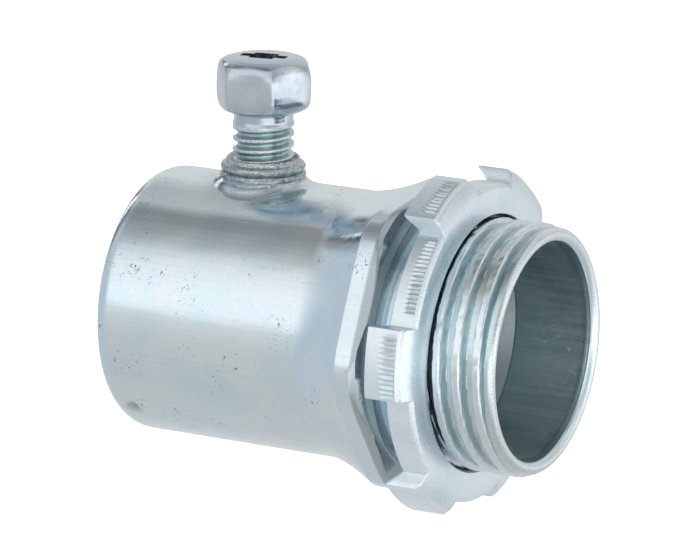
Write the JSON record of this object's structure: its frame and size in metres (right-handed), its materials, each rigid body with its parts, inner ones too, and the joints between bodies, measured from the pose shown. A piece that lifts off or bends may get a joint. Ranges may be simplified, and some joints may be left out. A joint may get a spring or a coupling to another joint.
{
  "type": "set-screw conduit connector",
  "caption": "Steel connector that fixes thin-wall conduit with a set screw and clamps in a box knockout with a locknut.",
  "frame": {"origin": "centre of the shoulder's seat face, which lies against the outside of a box wall", "axes": "+X along the conduit axis towards the threaded nipple, +Z along the set screw towards its head"},
  "size_m": [0.0367, 0.0292, 0.0363],
  "materials": {
    "body_zinc": "bright blue-white zinc plate, drawn surface",
    "locknut_zinc": "satin blue-white zinc plate",
    "screw_zinc": "bright zinc plate"
  },
  "bodies": {
    "body_shell": {"connector_body": "body_zinc"},
    "locknut_carriage": {"locknut_back_ring": "locknut_zinc"},
    "locknut_spin": {"locknut": "locknut_zinc"},
    "screw_carriage": {"set_screw_point": "screw_zinc"},
    "screw_spin": {"set_screw": "screw_zinc"}
  },
  "joints": [
    {"name": "locknut_travel", "type": "slide", "parent": "body_shell", "child": "locknut_carriage", "axis": [1, 0, 0], "range_m": [0, 0.0055]},
    {"name": "locknut_turn", "type": "hinge", "parent": "locknut_carriage", "child": "locknut_spin", "pos_m": [0.0035, 0, 0], "axis": [1, 0, 0], "range_deg": [0, 1080]},
    {"name": "set_screw_travel", "type": "slide", "parent": "body_shell", "child": "screw_carriage", "axis": [0, 0, 1], "range_m": [-0.00186, 0.00232]},
    {"name": "set_screw_turn", "type": "hinge", "parent": "screw_carriage", "child": "screw_spin", "pos_m": [-0.0167, 0, 0.0135], "axis": [0, 0, 1], "range_deg": [-721, 901]}
  ],
  "couplings": [
    {"joint": "locknut_travel", "follows": "locknut_turn", "m_per_rad": 0.00028871},
    {"joint": "set_screw_turn", "follows": "set_screw_travel", "rad_per_m": 6756.1}
  ]
}
